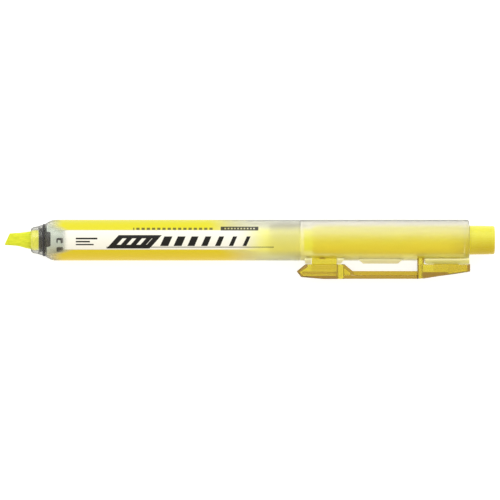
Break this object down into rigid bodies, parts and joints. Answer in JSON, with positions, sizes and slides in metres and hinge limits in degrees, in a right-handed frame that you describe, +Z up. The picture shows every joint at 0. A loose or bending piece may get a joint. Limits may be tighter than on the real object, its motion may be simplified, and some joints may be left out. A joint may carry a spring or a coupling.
{
  "type": "retractable highlighter",
  "caption": "Push-button highlighter with a chisel nib that slides out through a sealing valve, and a sprung clip whose claw catches the button's slider.",
  "frame": {"origin": "bottom centre of the bounding box: the table under the middle of the pen", "axes": "+X along the pen from the nib to the push button, +Z up from the table; the clip lies on the -Y side, its outer edge on the table"},
  "size_m": [0.146, 0.018, 0.0122],
  "materials": {
    "clear_plastic": "clear moulded plastic with a printed yellow field and white band over the front barrel",
    "frosted_plastic": "frosted translucent moulded plastic",
    "milky_plastic": "milky translucent moulded plastic",
    "black_rubber": "soft black elastomer, satin",
    "spring_steel": "drawn spring wire",
    "nib_fibre": "bonded fibre soaked in fluorescent yellow ink",
    "ink_fibre": "fibre bundle soaked in fluorescent yellow ink",
    "wrap_film": "thin clear film",
    "tinted_yellow_plastic": "clear moulded plastic that ink has tinted yellow",
    "yellow_plastic": "translucent yellow moulded plastic, polished",
    "clip_plastic": "transparent amber-yellow moulded plastic, polished"
  },
  "bodies": {
    "barrel": {"front_barrel": "clear_plastic", "rear_barrel": "frosted_plastic", "nozzle": "clear_plastic", "nose_gasket": "black_rubber", "seal_chamber": "milky_plastic", "chamber_cap": "milky_plastic", "chamber_seal": "black_rubber", "valve_body": "black_rubber", "valve_lips": "black_rubber", "return_spring": "spring_steel", "clip_foot": "clip_plastic"},
    "cartridge": {"nib": "nib_fibre", "nib_holder": "tinted_yellow_plastic", "cartridge_tube": "tinted_yellow_plastic", "ink_reservoir": "ink_fibre", "reservoir_wrap": "wrap_film", "cartridge_tail": "yellow_plastic"},
    "knock": {"knock_slider": "yellow_plastic", "knock_button": "yellow_plastic"},
    "clip": {"clip_arm": "clip_plastic"}
  },
  "joints": [
    {"name": "cartridge_slide", "type": "slide", "parent": "barrel", "child": "cartridge", "axis": [1, 0, 0], "range_m": [-0.0008, 0.015], "deforming": ["return_spring", "valve_lips"]},
    {"name": "knock_slide", "type": "slide", "parent": "barrel", "child": "knock", "axis": [1, 0, 0], "range_m": [-0.0008, 0.015]},
    {"name": "clip_flex", "type": "hinge", "parent": "barrel", "child": "clip", "pos_m": [0.04975, -0.00708, 0.00316], "axis": [0, -0.283, 0.9591], "range_deg": [0, 6], "stiffness_Nm_per_rad": 1.2}
  ],
  "couplings": [
    {"joint": "knock_slide", "follows": "cartridge_slide", "ratio": 1}
  ]
}
